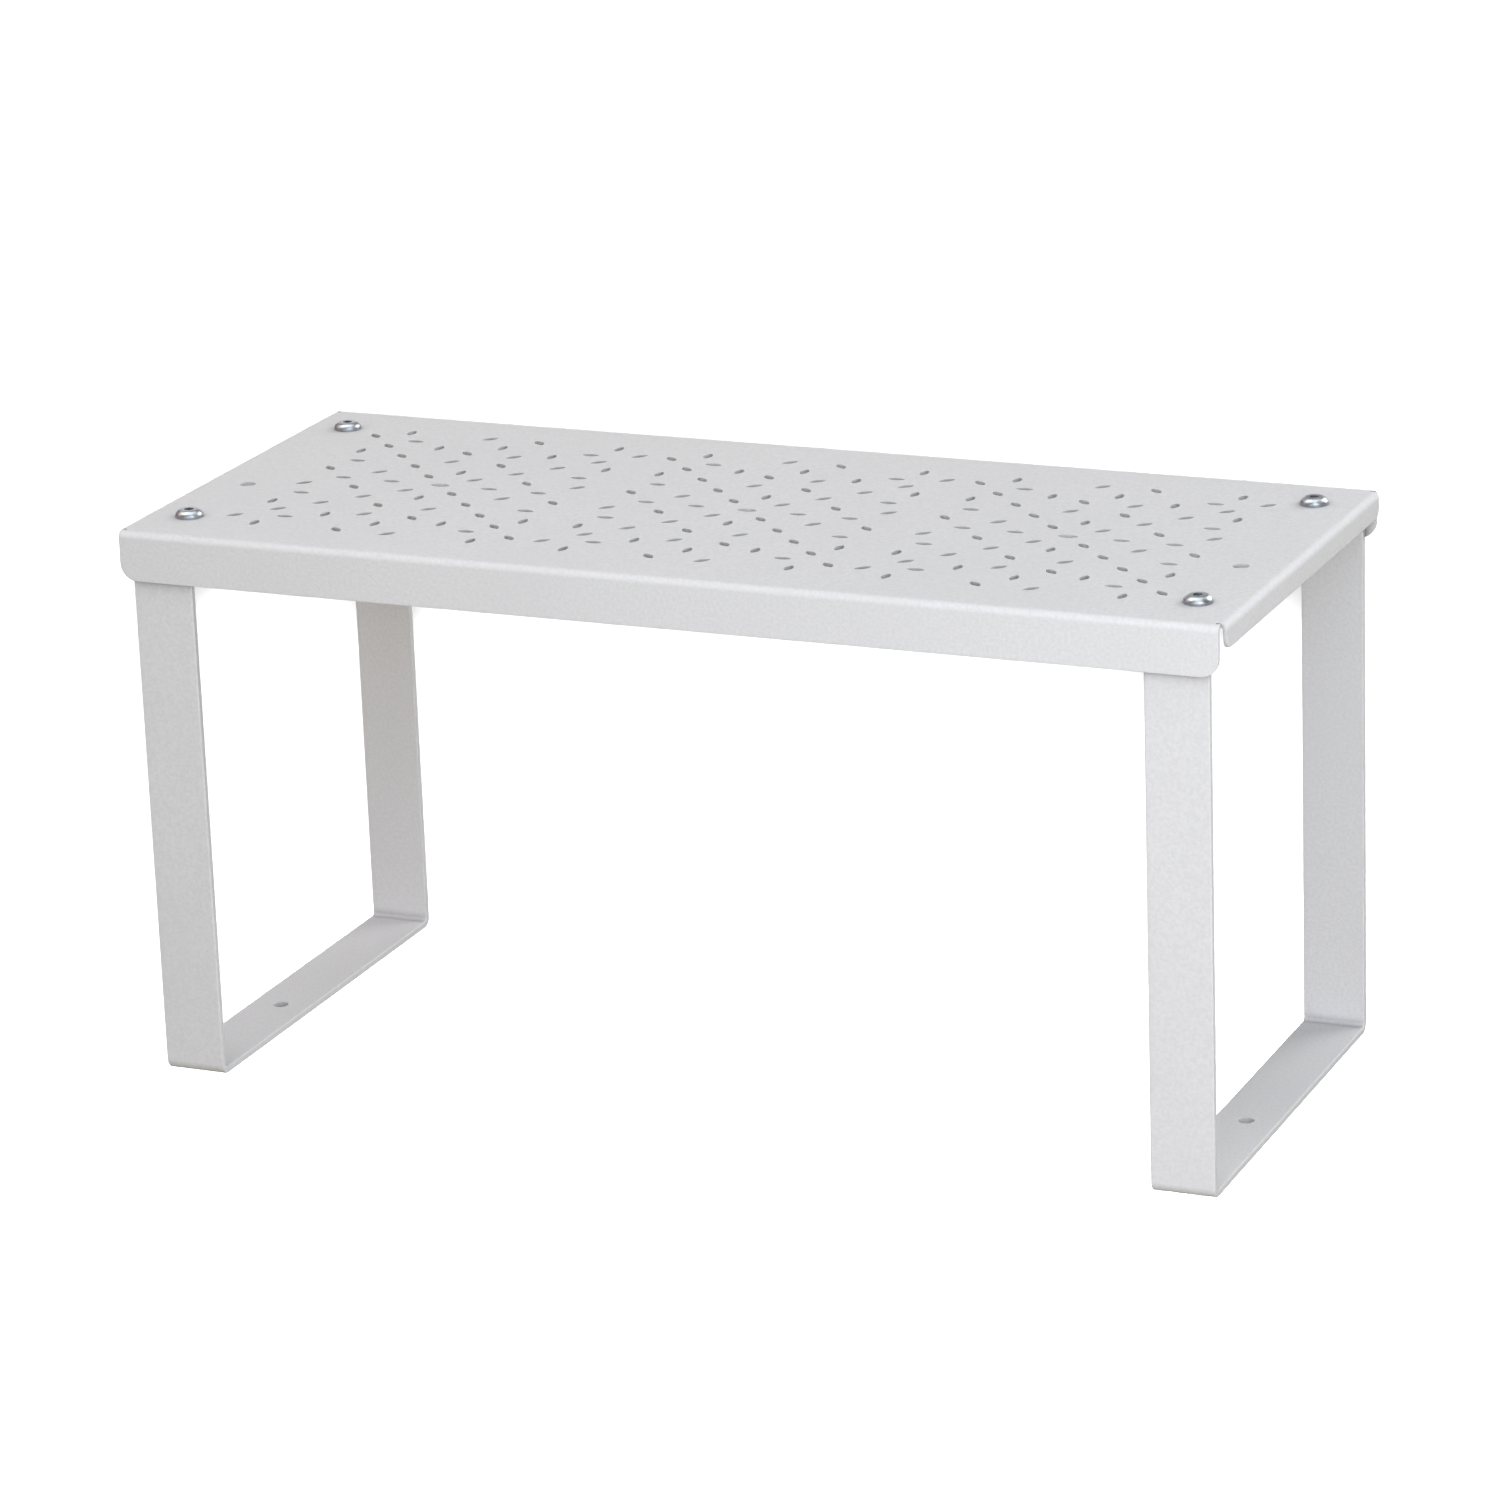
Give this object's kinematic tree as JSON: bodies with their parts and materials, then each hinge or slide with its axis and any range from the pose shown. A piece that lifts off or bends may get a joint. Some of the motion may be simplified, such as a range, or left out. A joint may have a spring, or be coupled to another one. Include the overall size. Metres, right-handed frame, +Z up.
{
  "type": "tiered shelf riser",
  "caption": "Perforated bent-steel shelf on square flat-bar leg frames, a stackable riser that adds a storage tier in a cupboard.",
  "frame": {"origin": "on the ground under the middle of the shelf: the middle of the feet's resting plane", "axes": "+X along the shelf's length, +Y towards the back, +Z up"},
  "size_m": [0.32, 0.135, 0.1601],
  "materials": {
    "shelf_paint": "fine-textured powder coat, off-white",
    "leg_paint": "fine-textured powder coat, off-white",
    "zinc": "bright zinc plate"
  },
  "bodies": {
    "root": {"shelf_tray": "shelf_paint", "leg_frame_left": "leg_paint", "screw_front_left": "zinc", "nut_front_left": "zinc", "screw_back_left": "zinc", "nut_back_left": "zinc", "leg_frame_right": "leg_paint", "screw_front_right": "zinc", "nut_front_right": "zinc", "screw_back_right": "zinc", "nut_back_right": "zinc"}
  },
  "joints": []
}
